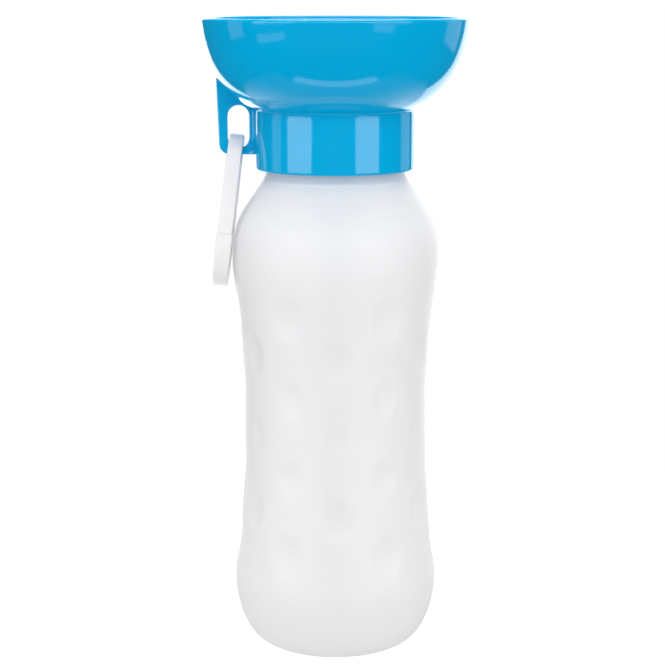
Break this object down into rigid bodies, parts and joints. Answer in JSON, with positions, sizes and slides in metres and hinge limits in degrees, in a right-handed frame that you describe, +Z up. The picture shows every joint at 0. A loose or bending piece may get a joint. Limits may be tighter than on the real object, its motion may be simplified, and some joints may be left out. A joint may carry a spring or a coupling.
{
  "type": "dog travel water bottle",
  "caption": "Squeeze water bottle with a screw-on drinking bowl, a twist valve with a dip tube under the bowl, and a belt clip hung in a slotted lug.",
  "frame": {"origin": "centre of the standing ring under the bottle, on the surface that it stands on", "axes": "+Z up along the bottle's axis, which is also the screw axis; the lug and the clip are towards -X; the picture looks along +Y"},
  "size_m": [0.1012, 0.1012, 0.24],
  "materials": {
    "frosted_bottle": "frosted translucent, soft polyethylene",
    "blue_gloss": "polished moulded plastic",
    "silicone": "soft matt silicone",
    "clear_tube": "clear flexible tube",
    "white_plastic": "satin moulded plastic",
    "steel": "plain drawn wire"
  },
  "bodies": {
    "bottle": {"bottle": "frosted_bottle"},
    "valve": {"funnel": "blue_gloss", "neck_oring": "silicone", "dip_tube": "clear_tube", "valve_disc": "blue_gloss", "valve_seal": "silicone"},
    "bowl": {"bowl": "blue_gloss"},
    "clip": {"clip_body": "white_plastic", "gate_pin": "steel", "gate_spring": "steel"},
    "gate": {"clip_gate": "white_plastic"}
  },
  "joints": [
    {"name": "bowl_lift", "type": "slide", "parent": "bottle", "child": "valve", "axis": [0, 0, 1], "range_m": [0, 0.0053]},
    {"name": "bowl_turn", "type": "hinge", "parent": "valve", "child": "bowl", "pos_m": [0, 0, 0.2039], "axis": [0, 0, 1], "range_deg": [0, 450]},
    {"name": "clip_swing", "type": "hinge", "parent": "bowl", "child": "clip", "pos_m": [-0.0376, 0, 0.1905], "axis": [0.9925, 0, -0.1219], "range_deg": [-105, 105]},
    {"name": "gate_open", "type": "hinge", "parent": "clip", "child": "gate", "pos_m": [-0.0383, -0.00653, 0.18483], "axis": [0.9925, 0, -0.1219], "range_deg": [0, 30], "stiffness_Nm_per_rad": 0.03, "springref_deg": -17.19}
  ],
  "couplings": [
    {"joint": "bowl_lift", "follows": "bowl_turn", "m_per_rad": 0.00067322}
  ]
}
